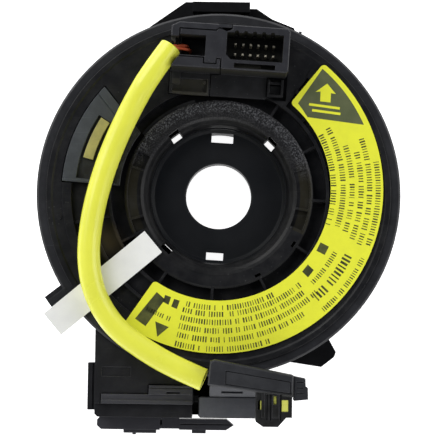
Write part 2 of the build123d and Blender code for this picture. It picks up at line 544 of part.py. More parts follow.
def pin_connector_housing():
    """The twelve-way socket, the window for the lead, and a flat foot towards the hub."""
    body = slab(pod_outline(0), FLOOR_TOP, POD_TOP) - over_rim()
    top_edges = body.faces().sort_by(Axis.Z)[-1].edges()
    body = chamfer(top_edges, 0.25)
    socket = cube(SOCKET_X - SOCKET_L / 2, SOCKET_X + SOCKET_L / 2,
                  SOCKET_Y - SOCKET_W / 2, SOCKET_Y + SOCKET_W / 2, SOCKET_FLOOR, POD_TOP + 1)
    socket -= Pos(SOCKET_X - SOCKET_L / 2, SOCKET_Y - SOCKET_W / 2, 0) * Rot(0, 0, 45) * cube(
        -1.0, 1.0, -1.0, 1.0, 0, POD_TOP + 2)
    # keying notches along the socket's outer side
    for i in range(5):
        x = SOCKET_X - 5.3 + i * 2.55
        socket += Pos(x, SOCKET_Y + SOCKET_W / 2, 0) * drum(0.6, SOCKET_FLOOR + 2, POD_TOP + 1)
    body -= socket
    latch = cube(SOCKET_X - 5.6, SOCKET_X + 6.1, POD_IN_Y + 0.5, POD_IN_Y + 1.9, POD_TOP - 3.2, POD_TOP + 1)
    latch -= cube(SOCKET_X - 5.6, SOCKET_X + 2.0, POD_IN_Y + 0.5, POD_IN_Y + 1.9, POD_TOP - 4, POD_TOP - 2.2)
    body -= latch
    window_y1 = POD_OUT_Y - 3.5
    body -= cube(POD_LEFT + 2.9, -6.4, POD_IN_Y + 3.3, window_y1, WINDOW_FLOOR, POD_TOP + 1)
    body -= cube(POD_LEFT + 2.0, POD_LEFT + 3.0, POD_IN_Y + 3.3, window_y1, POD_TOP - 6.0, POD_TOP + 1)
    body -= lead_groove()
    # foot towards the hub, with its tongue in the snap loop
    body += cube(-4.4, 11.7, DRUM_R + 1.0, POD_IN_Y - SEAM, FLOOR_TOP, FLOOR_TOP + 1.7)
    body += cube(-1.7, 11.7, POD_IN_Y - 1, POD_IN_Y + 0.1, FLOOR_TOP, FLOOR_TOP + 1.7)
    body += cube(12.9, 15.7, POD_IN_Y - 4.7, POD_IN_Y - 2.3, FLOOR_TOP + 0.5, FLOOR_TOP + 1.0)
    body += cube(11.6, 13.0, POD_IN_Y - 4.4, POD_IN_Y - 3.0, FLOOR_TOP + 0.5, FLOOR_TOP + 1.0)
    # holes that the pins are pressed through
    half = PIN_W / 2 + PIN_FIT
    for x, y in pin_places():
        body -= Pos(x, y, 0) * cube(-half, half, -half, half, FLOOR_TOP - 1, SOCKET_FLOOR + 1)
    return body


def pin_places():
    """Centres of the twelve pins, in two rows of six."""
    places = []
    for i in range(6):
        for j in (-0.5, 0.5):
            places.append((SOCKET_X + (i - 2.5) * PIN_PITCH, SOCKET_Y + j * PIN_ROWS))
    return places


def connector_pins():
    """Twelve square pins, pressed through the housing's floor."""
    pin = Box(PIN_W, PIN_W, PIN_TOP - FLOOR_TOP)
    pin = chamfer(pin.faces().sort_by(Axis.Z)[-1].edges(), 0.15)
    height = (PIN_TOP + FLOOR_TOP) / 2
    return Compound(children=[Pos(x, y, height) * pin for x, y in pin_places()])


def wire_cover():
    """The C-shaped cover that hooks round the connector and guides the lead out."""
    outer = [(POD_LEFT, POD_IN_Y), (-1.7 - SEAM, POD_IN_Y), (-1.7 - SEAM, POD_OUT_Y),
             (POD_LEFT + 2.2, POD_OUT_Y), (POD_LEFT, POD_OUT_Y - 1.2)]
    body = slab(outer, FLOOR_TOP, POD_TOP)
    body = chamfer(body.faces().sort_by(Axis.Z)[-1].edges(), 0.25)
    body += cube(-3.0, 0.65, POD_OUT_Y - 0.9, POD_OUT_Y, FLOOR_TOP, POD_TOP)
    body -= slab(pod_outline(SEAM), FLOOR_TOP - 1, POD_TOP + 1)
    body -= over_rim()
    body -= lead_groove()
    body -= cube(POD_LEFT - 1, POD_LEFT + 2.6, POD_IN_Y + 4.6, POD_IN_Y + 8.6, POD_TOP - 2.5, POD_TOP + 1)
    body -= cube(POD_LEFT + 1.2, POD_LEFT + 2.6, POD_IN_Y + 4.6, POD_IN_Y + 8.6, POD_TOP - 6.0, POD_TOP + 1)
    # low foot with a rim, towards the hub
    foot = cube(POD_LEFT, -4.4 - SEAM, DRUM_R + 1.0, POD_IN_Y, FLOOR_TOP, FLOOR_TOP + 1.7)
    foot -= cube(POD_LEFT + 0.8, -5.4, DRUM_R + 1.8, POD_IN_Y - 1.8, FLOOR_TOP + 0.6, FLOOR_TOP + 3)
    foot += Pos(-6.2, POD_IN_Y - 2.6, 0) * drum(0.5, FLOOR_TOP + 0.5, FLOOR_TOP + 1.8)
    foot += cube(POD_LEFT + 0.8, POD_LEFT + 3.0, POD_IN_Y - 3.6, POD_IN_Y, FLOOR_TOP + 0.5, FLOOR_TOP + 2.6)
    return body + foot


def cover_edge(y0, y1, z0, z1):
    """Band along the grey cover's slanted edge; y is 0 on the edge and positive outside it."""
    corner = polar(LEAD_COVER_OUT, LEAD_COVER_A0)
    return Pos(*corner, 0) * Rot(0, 0, LEAD_COVER_A0 + 180 - LEAD_COVER_SLANT) * cube(-10, 40, y0, y1, z0, z1)


def lead_cover_zone(grow, z0, z1):
    """Outline of the grey cover, from one height to another."""
    turn = grow / 0.7        # degrees, near enough at this radius
    zone = sector(LEAD_COVER_IN - grow, LEAD_COVER_OUT + grow, LEAD_COVER_A0 - 12, LEAD_COVER_A1 + turn, z0, z1)
    return zone - cover_edge(grow, 30, z0 - 1, z1 + 1)


def lead_cover():
    """The grey cover at the left, with a recess that the yellow bar sits in."""
    z1 = LEAD_COVER_TOP
    body = lead_cover_zone(0, FLOOR_TOP, z1)
    r0 = LEAD_COVER_IN + 1.4
    body -= sector(r0, LEAD_COVER_OUT - 3.9, 150.3, LEAD_COVER_A1 - 1.6, z1 - 1.1, z1 + 1)
    body -= cover_edge(-2.9, -2.5, z1 - 0.3, z1 + 1)
    body += sector(LEAD_COVER_IN, r0 - 0.4, LEAD_COVER_A0 + 6, LEAD_COVER_A1, z1 - 0.1, z1 + 0.15)
    body += sector(r0, LEAD_COVER_OUT, LEAD_COVER_A1 - 0.9, LEAD_COVER_A1, z1 - 0.1, z1 + 0.15)
    return body


def lead_clip():
    """The yellow bar in the cover's recess."""
    z0 = LEAD_COVER_TOP - 1.1
    return sector(LEAD_COVER_OUT - 7.7, LEAD_COVER_OUT - 4.8, 150.7, 168.6, z0, z0 + 1.0)


def face_label():
    """The yellow sticker on the ribs, a part ring with rounded corners."""
    label = sector(LABEL_IN, LABEL_IN + LABEL_BAND, -121.3, 54.0, RIB_TOP, RIB_TOP + LABEL_T)
    label = fillet(label.edges().filter_by(Axis.Z), 1.2)
    return Pos(0, LABEL_SHIFT, 0) * label


def transit_tape():
    """The pale strip stuck from the hub ring out over the rim to the case's ear."""
    strip = cube(-TAPE_L / 2, TAPE_L / 2, -TAPE_W / 2, TAPE_W / 2, RIB_TOP, RIB_TOP + TAPE_T)
    return Pos(-32.8 * GROWTH, -26.1 * GROWTH, 0) * Rot(0, 0, 40.2) * strip


def inner_cable_joint():
    """The moulded joint of the cable's inner end, in the drum's window."""
    top = GROOVE_BOTTOM - 0.4
    block = sector(JOURNAL_R + 2.4, DRUM_OUT - 0.2, 79, 101, PLATE_TOP + 1, top)
    return block + sector(JOURNAL_R + 2.4, DRUM_R - 1.4, 82, 98, top - 0.1, HUB_RING_TOP - HUB_RING_T)


# ---------------------------------------------------------------- airbag lead and plug
def corner_radii(points):
    """Largest tangent arc that each corner's two runs allow."""
    radii = []
    for before, corner, after in zip(points, points[1:], points[2:]):
        arriving = Vector(*corner) - Vector(*before)
        leaving = Vector(*after) - Vector(*corner)
        run = min(arriving.length, leaving.length)
        radii.append(0.45 * run / tan(radians(arriving.get_angle(leaving) / 2)))
    return radii


def tube(points, diameter):
    """A round tube along straight runs joined by tangent arcs."""
    radii = corner_radii(points)
    path = FilletPolyline(*points, radius=radii)
    section = Plane(origin=path @ 0, z_dir=path % 0) * Circle(diameter / 2)
    solid = sweep(section, path=path)
    expected = path.length * pi * diameter ** 2 / 4
    print("tube", diameter, "length %.1f" % path.length, "volume/expected %.4f" % (solid.volume / expected),
          "radii", [round(r, 1) for r in radii])
    return solid


def lead_sleeve():
    return tube(LEAD_ROUTE, SLEEVE_D)


def lead_wires():
    """Two thin wires, from the pocket under the window to the sleeve's open end."""
    start = Vector(*LEAD_ROUTE[0])
    out = (start - Vector(*LEAD_ROUTE[1])).normalized()
    side = Vector(-out.Y, out.X, 0).normalized()
    wires = []
    for shift, drop_x, drop_y in ((1.5, -8.6, POD_IN_Y + 5.9), (0.3, -9.3, POD_IN_Y + 7.0)):
        p0 = start - side * shift
        p1 = p0 + out * 0.9
        route = [p0, p1, Vector(drop_x - 0.6, drop_y + 0.2, POD_TOP - 4.8), Vector(drop_x, drop_y, POD_TOP - 6.4),
                 Vector(drop_x, drop_y, WINDOW_FLOOR)]
        wires.append(tube([tuple(p) for p in route], WIRE_D))
    return Compound(children=wires)


BODY_OUTLINE = [(-1.7, -47.9), (-0.4, -47.4), (21.7, -51.5), (21.7, -57.6), (11.4, -56.3), (-2.3, -54.5)]
PANEL_OUTLINE = [(2.7, -50.4), (21.0, -53.3), (21.0, -56.7), (11.6, -55.5), (2.7, -54.3)]
NOSE_X0 = 11.3
NOSE_Y1 = -56.0
TONGUE_X0 = 16.6


def nose_end():
    """The nose's outline, seen from the front, with cut corners at its open end."""
    x0, x1, y0 = NOSE_X0, NOSE_X0 + PLUG_NOSE_W, NOSE_Y1 - PLUG_NOSE_L
    return [(x0, NOSE_Y1), (x0, y0 + 1.4), (x0 + 2.0, y0), (x1 - 3.9, y0), (x1 - 1.6, y0 + 2.6),
            (x1, y0 + 2.6), (x1, NOSE_Y1)]


NOSE_SLOTS = [           # x0, x1, y0, y1 of the openings that show the insulator
    (11.8, 12.9, -61.2, -58.5),
    (16.1, 17.1, -59.7, -57.2),
    (18.4, 20.4, -61.7, -58.3),
]


def squib_housing():
    """The plug's black housing: a flat body for the wires and a nose square to it."""
    z0, z1 = PLUG_BOTTOM, PLUG_TOP
    body = slab(BODY_OUTLINE, z0, z1)
    body = chamfer(body.faces().sort_by(Axis.Z)[-1].edges(), 0.4)
    nose = slab(nose_end(), z0 + 0.5, z1 - 0.6)
    nose += cube(NOSE_X0 + 4.6, NOSE_X0 + 6.4, NOSE_Y1 - 7.4, NOSE_Y1, z1 - 0.6, z1 - 0.1)
    nose += cube(NOSE_X0 + 1.6, NOSE_X0 + 2.4, NOSE_Y1 - 7.4, NOSE_Y1, z1 - 0.6, z1 - 0.2)
    body += nose
    for x in (NOSE_X0 + 2.9, NOSE_X0 + 3.9, NOSE_X0 + 6.7):
        body -= cube(x, x + 0.45, NOSE_Y1 - 8.2, NOSE_Y1 - 0.8, z1 - 1.1, z1 + 1)
    # hollow of the nose, open at its end
    body -= cube(NOSE_X0 + 1.0, NOSE_X0 + PLUG_NOSE_W - 1.0, NOSE_Y1 - PLUG_NOSE_L - 1, NOSE_Y1 - 1.2,
                 z0 + 1.6, z1 - 1.7)
    for x_a, x_b, y_a, y_b in NOSE_SLOTS:
        body -= cube(x_a, x_b, y_a, y_b, z1 - 2.5, z1 + 1)
    # pocket of the cover and slot of the locking slider
    panel = slab(PANEL_OUTLINE, z1 - 0.9, z1 + 1)
    body -= panel
    body -= cube(TONGUE_X0 - 0.2, 23.0, -56.3 + 0.3, -53.0, z0 + 4.2, z0 + 6.4)
    return body


def squib_cover():
    """The cover that closes the plug's wire chamber."""
    inset = 0.2
    pts = [(2.7 + inset, -50.4 - inset * 1.2), (21.0 - inset, -53.3 - inset), (21.0 - inset, -56.7 + inset * 1.2),
           (11.6, -55.5 + inset), (2.7 + inset, -54.3 + inset)]
    return slab(pts, PLUG_TOP - 0.9, PLUG_TOP + 0.1)


def squib_insulator():
    """The yellow insert in the nose, with three bars that show through its slots."""
    z0, z1 = PLUG_BOTTOM + 1.8, PLUG_TOP - 1.9
    x0, x1 = NOSE_X0 + 1.2, NOSE_X0 + PLUG_NOSE_W - 1.2
    y0 = NOSE_Y1 - PLUG_NOSE_L
    body = cube(x0, x1, y0 + 3.0, NOSE_Y1 - 1.4, z0, z1)
    for x_a, x_b, y_a, y_b in NOSE_SLOTS:
        body += cube(max(x_a + 0.1, x0), x_b - 0.1, y_a + 0.1, y_b - 0.1, z1 - 0.1, PLUG_TOP - 0.7)
    middle = (x0 + x1) / 2
    for side in (-1, 1):
        hole = Pos(middle + side * 1.4, 0, (z0 + z1) / 2) * Rot(90, 0, 0) * Cylinder(0.95, 400)
        body -= hole & cube(x0, x1, y0 - 1, y0 + 7.0, z0, z1)
    return body


def squib_terminals():
    """Two round contacts inside the insert."""
    middle = NOSE_X0 + PLUG_NOSE_W / 2
    z = (PLUG_BOTTOM + 1.8 + PLUG_TOP - 1.9) / 2
    y0 = NOSE_Y1 - PLUG_NOSE_L
    contacts = []
    for side in (-1, 1):
        contact = Rot(90, 0, 0) * (Cylinder(0.85, 5.0) - Cylinder(0.5, 5.0))
        contacts.append(Pos(middle + side * 1.4, y0 + 4.5, z) * contact)
    return Compound(children=contacts)


def squib_lock():
    """The locking slider: a ribbed grip outside the body and a tongue in its slot."""
    grip = slab([(21.95, -51.8), (25.1, -52.4), (25.2, -54.5), (25.8, -54.9), (25.9, -58.2), (21.95, -58.6)],
                PLUG_BOTTOM + 1.2, PLUG_TOP - 1.4)
    for i in range(3):
        y = -53.3 - i * 1.6
        grip -= cube(22.6, 24.6, y - 0.25, y + 0.05, PLUG_TOP - 1.8, PLUG_TOP)
    tongue = cube(TONGUE_X0, 22.1, -56.0 + 0.2, -53.2, PLUG_BOTTOM + 4.4, PLUG_BOTTOM + 6.2)
    return grip + tongue


# ---------------------------------------------------------------- write the pieces
FIXED = {
    "outer_ring": outer_ring(),
    "rear_plate": rear_plate(),
    "block_tray": block_tray(),
    "connector_block": connector_block(),
    "block_cover": block_cover(),
    "block_clip": block_clip(),
    "joint_box": joint_box(),
    "joint_box_lid": joint_box_lid(),
    "socket_pins_main": socket_pins(MAIN_X0 + 2.6, 4, 2),
    "socket_pins_airbag": socket_pins(MAIN_X1 + 2.9, 2, 1),
    "outer_cable_joint": outer_cable_joint(),
    "slip_sheet": slip_sheet(),
    "flat_cable": flat_cable(),
}
TURNING = {
    "rotor_cover": rotor_cover(),
    "hub_sleeve": hub_sleeve(),
    "pin_connector_housing": pin_connector_housing(),
    "connector_pins": connector_pins(),
    "wire_cover": wire_cover(),
    "lead_cover": lead_cover(),
    "lead_clip": lead_clip(),
    "face_label": face_label(),
    "inner_cable_joint": inner_cable_joint(),
}
LEAD = {
    "transit_tape": transit_tape(),
    "lead_sleeve": lead_sleeve(),
    "lead_wires": lead_wires(),
}
PLUG = {
    "squib_housing": squib_housing(),
    "squib_cover": squib_cover(),
    "squib_insulator": squib_insulator(),
    "squib_terminals": squib_terminals(),
    "squib_lock": squib_lock(),
}
for name, shape in FIXED.items():
    export_step(shape, f"parts/{name}.step")
for name, shape in TURNING.items():
    export_step(parked(shape), f"parts/{name}.step")
for name, shape in LEAD.items():
    export_step(shape, f"parts/{name}.step")
for name, shape in PLUG.items():
    export_step(Pos(PLUG_X, PLUG_Y, 0) * shape, f"parts/{name}.step")
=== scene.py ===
"""Steering clock spring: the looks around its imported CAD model. Metres, +Z towards the driver."""

import math

import bmesh
import bpy
from mathutils import Matrix, Vector


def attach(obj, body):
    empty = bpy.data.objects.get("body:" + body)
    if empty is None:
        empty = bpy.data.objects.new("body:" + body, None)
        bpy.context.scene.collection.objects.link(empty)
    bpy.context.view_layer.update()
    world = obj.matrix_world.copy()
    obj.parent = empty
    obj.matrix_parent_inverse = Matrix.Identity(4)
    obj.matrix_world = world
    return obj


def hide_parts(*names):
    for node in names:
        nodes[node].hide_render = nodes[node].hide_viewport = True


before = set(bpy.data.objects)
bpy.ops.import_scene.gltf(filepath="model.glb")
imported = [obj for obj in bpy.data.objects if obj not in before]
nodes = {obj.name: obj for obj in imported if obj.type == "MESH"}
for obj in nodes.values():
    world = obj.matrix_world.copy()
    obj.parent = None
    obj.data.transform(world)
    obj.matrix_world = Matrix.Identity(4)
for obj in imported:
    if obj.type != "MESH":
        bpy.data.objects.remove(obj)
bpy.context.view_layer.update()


# The camera looks straight down on the face from a little below it, as the part lies on its back.
# The tilt and the small roll set how the connector's walls and the bore's far side show.
CAM_HEIGHT = 0.480
CAM_TILT = math.radians(3.5)
CAM_ROLL = math.radians(0.8)
CAM_AIM = Vector((0.000524, -0.007526, 0.020))
SENSOR_WIDTH_MM = 36.0
FRAME_WIDTH = 0.12668    # of what the camera sees, at the aim's distance
CLIP_START = 0.02

camera_data = bpy.data.cameras.new("camera")
camera_data.sensor_fit = "HORIZONTAL"
camera_data.sensor_width = SENSOR_WIDTH_MM
camera_data.lens = SENSOR_WIDTH_MM * CAM_HEIGHT / FRAME_WIDTH
camera_data.clip_start = CLIP_START
camera = bpy.data.objects.new("camera", camera_data)
bpy.context.scene.collection.objects.link(camera)
look = Vector((0, math.sin(CAM_TILT), -math.cos(CAM_TILT)))
across = Vector((1, 0, 0))
camera_axes = Matrix((across, across.cross(look), -look)).transposed().to_4x4()
camera_place = Matrix.Translation(CAM_AIM - look * CAM_HEIGHT)
camera.matrix_world = camera_place @ camera_axes @ Matrix.Rotation(CAM_ROLL, 4, "Z")
bpy.context.scene.camera = camera


# The case's round wall: one black PBT moulding with a flat front rim, smooth and a little shiny.
# Handling has polished its edges and left fine scratches; it snaps over the rear plate by tongues.
CASE_BLACK = (0.0070, 0.0074, 0.0098, 1.0)
CASE_WORN = (0.040, 0.042, 0.050, 1.0)
DUST_GREY = (0.130, 0.132, 0.130, 1.0)
MOTTLE_SCALE = 260.0             # scales are in cycles for each metre
MOTTLE_RANGE = (0.42, 0.72)
BROAD_SCALE = 45.0               # of the slow change in gloss and dust
GLOSS_RANGE = (0.3, 0.7)
SCRATCH_TURNS = (0.6, -1.1)      # directions of the scratches, in radians
SCRATCH_STRETCH = (45.0, 3200.0, 45.0)
SCRATCH_RANGE = (0.70, 0.78)
SPECK_SCALE = 650.0
SPECK_RADII = (0.15, 0.07)       # outer and inner, in cells
DUSTY_RANGE = (0.50, 0.62)
RUB_AND_HIGHLIGHT_RANGE = (0.985, 0.90)        # how far the rounded arris turns from the flat face
GRAIN_DEPTH = 0.00005
ARRIS_SAMPLES = 4


class MaterialNodes:
    """A node material: its shader's inputs, and short ways to add the nodes that feed them."""

    def __init__(self, name):
        self.material = bpy.data.materials.new(name)
        self.material.use_nodes = True
        self.tree = self.material.node_tree
        self.shader = self.tree.nodes["Principled BSDF"].inputs
        self.place = self.add("TexCoord")["Object"]

    def feed(self, socket, value):
        """Links another node's output to the socket, or sets its number or colour."""
        if isinstance(value, bpy.types.NodeSocket):
            self.tree.links.new(value, socket)
        else:
            socket.default_value = value

    def add(self, kind, inputs=None, **settings):
        """Adds a node and returns its outputs."""
        node = self.tree.nodes.new("ShaderNode" + kind)
        for key, value in settings.items():
            setattr(node, key, value)
        for key, value in (inputs or {}).items():
            self.feed(node.inputs[key], value)
        return node.outputs

    def math(self, operation, first, second=0.0):
        return self.add("Math", {0: first, 1: second}, operation=operation)["Value"]

    def mix(self, share, first, second):
        return self.add("MixRGB", {"Fac": share, "Color1": first, "Color2": second})["Color"]

    def noise(self, vector, scale, detail, roughness=0.5):
        inputs = {"Vector": vector, "Scale": scale, "Detail": detail, "Roughness": roughness}
        return self.add("TexNoise", inputs)["Fac"]

    def spread(self, value, span, least=0.0, most=1.0):
        """Takes span's two ends to least and most."""
        inputs = {"Value": value, "From Min": span[0], "From Max": span[1], "To Min": least, "To Max": most}
        return self.add("MapRange", inputs)["Result"]

    def axes(self):
        return self.add("SeparateXYZ", {"Vector": self.place})

    def radius(self):
        """The distance from the shaft's axis."""
        axes = self.axes()
        flat = self.add("CombineXYZ", {"X": axes["X"], "Y": axes["Y"]})["Vector"]
        return self.add("VectorMath", {0: flat}, operation="LENGTH")["Value"]

    def all_of(self, *tests):
        """The product of several masks."""
        mask = tests[0]
        for test in tests[1:]:
            mask = self.math("MULTIPLY", mask, test)
        return mask

    def bump(self, height, strength, distance, **normal):
        """Links a bump to the shader's normal."""
        inputs = {"Height": height, "Strength": strength, "Distance": distance, **normal}
        self.feed(self.shader["Normal"], self.add("Bump", inputs)["Normal"])


def moulded_plastic(name, colour, worn, gloss=(0.34, 0.50), mottle=0.25, scratch=0.5, edge=0.6,
                    shine=0.4, dust=0.0, grain_scale=1142.857, grain_depth=0.10, arris=0.00022, patches=None):
    """Moulded plastic: mottled colour, worn arrises also painted pale as edge highlights, fine scratches,
    fine grain and uneven gloss.

    patches, if given, adds nodes of its own and returns the base colour that the wear goes over.
    """
    made = MaterialNodes(name)
    broad = made.noise(made.place, BROAD_SCALE, detail=3.0)
    # mottling, from handling and a thin film of dust
    cloud = made.noise(made.place, MOTTLE_SCALE, detail=6.0, roughness=0.65)
    base = patches(made) if patches else colour
    tint = made.mix(made.spread(cloud, MOTTLE_RANGE, 0.0, mottle), base, worn)
    # fine scratches in two directions
    for turn in SCRATCH_TURNS:
        drawn = {"Vector": made.place, "Rotation": (0.0, 0.0, turn), "Scale": SCRATCH_STRETCH}
        lines = made.noise(made.add("Mapping", drawn)["Vector"], 1.0, detail=2.0)
        tint = made.mix(made.spread(lines, SCRATCH_RANGE, 0.0, scratch), tint, worn)
    # scattered dust specks, in patches
    cells = made.add("TexVoronoi", {"Vector": made.place, "Scale": SPECK_SCALE})["Distance"]
    specks = made.all_of(made.spread(cells, SPECK_RADII, 0.0, dust), made.spread(broad, DUSTY_RANGE))
    tint = made.mix(specks, tint, DUST_GREY)
    # arrises, rounded, rubbed pale and also painted pale as edge highlights
    rounded = made.add("Bevel", {"Radius": arris}, samples=ARRIS_SAMPLES)["Normal"]
    normals = {0: rounded, 1: made.add("NewGeometry")["Normal"]}
    turned = made.add("VectorMath", normals, operation="DOT_PRODUCT")["Value"]
    tint = made.mix(made.spread(turned, RUB_AND_HIGHLIGHT_RANGE, 0.0, edge), tint, worn)
    made.feed(made.shader["Base Color"], tint)
    made.feed(made.shader["Roughness"], made.spread(broad, GLOSS_RANGE, *gloss))
    made.feed(made.shader["Specular IOR Level"], shine)
    made.bump(made.noise(made.place, grain_scale, detail=3.0), grain_depth, GRAIN_DEPTH, Normal=rounded)
    return made.material


def dress(material, *names):
    """Gives CAD nodes their material."""
    for name in names:
        mesh = nodes[name].data
        mesh.materials.clear()
        mesh.materials.append(material)


dress(moulded_plastic("case_plastic", CASE_BLACK, CASE_WORN, gloss=(0.42, 0.56), scratch=0.7, edge=0.3),
      "outer_ring")


# The rear plate, with the spigot, the top tab, the side ear and the tray under the connector block.
# It is the case's black plastic, left duller and painted darker as shade; the round wall's tongues clip it
# on.
PLATE_SHADE_BLACK = (0.0020, 0.0021, 0.0028, 1.0)
dress(moulded_plastic("plate_plastic", PLATE_SHADE_BLACK, CASE_WORN, gloss=(0.50, 0.64), mottle=0.10, edge=0.3,
                      shine=0.12), "rear_plate", "block_tray")


# The turning front disc with its ribs, deep groove and hub ring, in one black moulding.
# The upper part of the hub ring is spark-eroded to a coarse grey grain; the lower part is left smooth.
DISC_BLACK = (0.0042, 0.0045, 0.0060, 1.0)
DISC_WORN = (0.034, 0.034, 0.034, 1.0)
SLOPE_SHADE_BLACK = (0.0020, 0.0022, 0.0032, 1.0)
POCKET_PAINTED_LIGHT_OLIVE = (0.0130, 0.0115, 0.0060, 1.0)
POCKET_R = (0.0236, 0.0271)
POCKET_TOP = 0.0204
POCKET_SPREAD = math.radians(65)   # past the upright line, left and right
ERODED_GREY = (0.150, 0.153, 0.165, 1.0)
ERODED_DARK = (0.0060, 0.0060, 0.0070, 1.0)
ERODED_GRAIN = 0.00045
GRAIN_RANGE = (0.48, 0.66)
AMBER = (0.050, 0.038, 0.018, 1.0)
AMBER_PLACE = (-0.0315, -0.0140, 0.0190)
AMBER_REACH = (0.0065, 0.0015)
HUB_RING_R = (0.0218, 0.0274)
HUB_RING_LOW = 0.0165
CREST_R = (0.0236, 0.0248)
SLOPE_SHARE = 0.22                 # how much of the grain shows on the slope inside the crest
ERODED_MIDDLE = math.radians(87)
ERODED_EDGES = (math.radians(79), math.radians(61))


def between(made, value, span):
    """A mask: one where the value lies in the span."""
    return made.all_of(made.math("GREATER_THAN", value, span[0]), made.math("LESS_THAN", value, span[1]))


def disc_tones(made):
    """The base colour: black, a coarse grey grain on the ring's upper part, pockets painted a lighter olive
    as painted light, the slope painted darker as shade, and an amber patch.
    """
    axes, radius = made.axes(), made.radius()
    bearing = made.math("ARCTAN2", axes["Y"], axes["X"])
    # the slope painted darker as shade, the pockets at the ring's sides painted lighter as painted light, and
    # the amber patch
    amber_distance = made.add("VectorMath", {0: made.place, 1: AMBER_PLACE}, operation="DISTANCE")["Value"]
    tint = made.mix(made.spread(amber_distance, AMBER_REACH), DISC_BLACK, AMBER)
    sideways = made.math("SUBTRACT", made.math("ABSOLUTE", bearing), math.pi / 2)
    # the pockets' floors are painted a lighter olive as painted light that softens their shade
    painted_light_pocket = made.all_of(made.math("GREATER_THAN", made.math("ABSOLUTE", sideways), POCKET_SPREAD),
                         between(made, radius, POCKET_R), made.math("LESS_THAN", axes["Z"], POCKET_TOP))
    tint = made.mix(painted_light_pocket, tint, POCKET_PAINTED_LIGHT_OLIVE)
    # the slope inside the crest is painted darker as shade
    tint = made.mix(made.math("LESS_THAN", radius, CREST_R[0]), tint, SLOPE_SHADE_BLACK)
    # the eroded grain, fainter down the slope
    away = made.math("ABSOLUTE", made.math("SUBTRACT", bearing, ERODED_MIDDLE))
    zone = made.all_of(made.spread(away, ERODED_EDGES), between(made, radius, HUB_RING_R),
                       made.math("GREATER_THAN", axes["Z"], HUB_RING_LOW))
    grain = made.spread(made.noise(made.place, 1.0 / ERODED_GRAIN, detail=4.0, roughness=0.75), GRAIN_RANGE)
    coarse = made.mix(made.all_of(grain, made.spread(radius, CREST_R, SLOPE_SHARE)), ERODED_DARK, ERODED_GREY)
    return made.mix(zone, tint, coarse)


dress(moulded_plastic("disc_plastic", DISC_BLACK, DISC_WORN, gloss=(0.36, 0.52), mottle=0.35, scratch=0.6,
                      edge=0.2, shine=0.24, dust=0.30, grain_depth=0.2, patches=disc_tones), "rotor_cover")


# The rear hub: a separate matt black moulding with a dished face round the shaft's bore.
# Its journal runs in the rear plate's hole, and two long windows let light through from behind.
HUB_BLACK = (0.0030, 0.0040, 0.0058, 1.0)
HUB_WORN = (0.012, 0.014, 0.017, 1.0)
dress(moulded_plastic("hub_plastic", HUB_BLACK, HUB_WORN, gloss=(0.40, 0.55), mottle=0.2, scratch=0.3,
                      edge=0.4, shine=0.3), "hub_sleeve")


# The connector pod: a satin charcoal housing with the pin socket and a window for the lead.
# The C-shaped cover hooks round it with a fine seam, and both have a low foot towards the hub.
POD_GREY = (0.0120, 0.0125, 0.0165, 1.0)
POD_WORN = (0.050, 0.052, 0.060, 1.0)
FOOT_SHADE_BLACK = (0.0080, 0.0083, 0.0095, 1.0)
FOOT_TOP = 0.0212
CAVITY_TOP = 0.0300
FACE_LOW = 0.0305         # above it lies only the flat front face
KHAKI = (0.030, 0.028, 0.018, 1.0)
SOCKET_SHADE_OLIVE = (0.0120, 0.0125, 0.0070, 1.0)
RECESS_KHAKI = (0.0360, 0.0340, 0.0250, 1.0)
POD_ZONES = [            # colour, centre and half size in X and Y, highest Z
    (SOCKET_SHADE_OLIVE, (0.00970, 0.04085), (0.0075, 0.0041), CAVITY_TOP + 0.0011),
    (RECESS_KHAKI, (-0.00860, 0.03060), (0.0052, 0.0026), FOOT_TOP + 0.0004),
]


def pod_tones(made):
    """The base colour: charcoal above, painted darker down the walls to the low foot as shade, warm khaki in
    the recess and higher on the walls, and painted olive shade inside the socket.
    """
    axes = made.axes()
    # the low foot and the walls' lower parts are painted darker as shade
    low = made.mix(made.spread(axes["Z"], (FOOT_TOP, CAVITY_TOP)), FOOT_SHADE_BLACK, KHAKI)
    tint = made.mix(made.math("GREATER_THAN", axes["Z"], FACE_LOW), low, POD_GREY)
    # the pin socket's inside, painted darker olive as shade, and the recess in the left foot
    for colour, centre, half, top in POD_ZONES:
        spans = [(centre[i] - half[i], centre[i] + half[i]) for i in range(2)]
        zone = made.all_of(made.math("LESS_THAN", axes["Z"], top), between(made, axes["X"], spans[0]),
                           between(made, axes["Y"], spans[1]))
        tint = made.mix(zone, tint, colour)
    return tint


dress(moulded_plastic("pod_plastic", POD_GREY, POD_WORN, gloss=(0.38, 0.52), scratch=0.3, edge=0.12,
                      dust=0.25, patches=pod_tones), "pin_connector_housing", "wire_cover")


# The pins: square brass wire, tinned, cut to length and pressed through the housings.
# The light catches their chamfered tips; their sides show fine draw marks.
PIN_BRIGHT = (0.93, 0.90, 0.76, 1.0)
PIN_DULL = (0.66, 0.60, 0.44, 1.0)
PIN_DRAW = (500.0, 500.0, 60.0)
PIN_GLOSS = (0.18, 0.36)
PIN_METAL = 0.35                 # the dull tin reflects only partly like a metal
PIN_MARK_DEPTH = 0.00003


def tinned_brass():
    """Tinned brass: bright, a little uneven, with fine draw marks along Z."""
    made = MaterialNodes("tinned_brass")
    drawn = made.add("Mapping", {"Vector": made.place, "Scale": PIN_DRAW})["Vector"]
    marks = made.noise(drawn, 1.0, detail=4.0)
    made.feed(made.shader["Base Color"], made.mix(marks, PIN_BRIGHT, PIN_DULL))
    made.feed(made.shader["Roughness"], made.spread(marks, (0.0, 1.0), *PIN_GLOSS))
    made.feed(made.shader["Metallic"], PIN_METAL)
    made.bump(marks, strength=0.15, distance=PIN_MARK_DEPTH)
    return made.material


dress(tinned_brass(), "connector_pins", "socket_pins_main", "socket_pins_airbag", "squib_terminals")


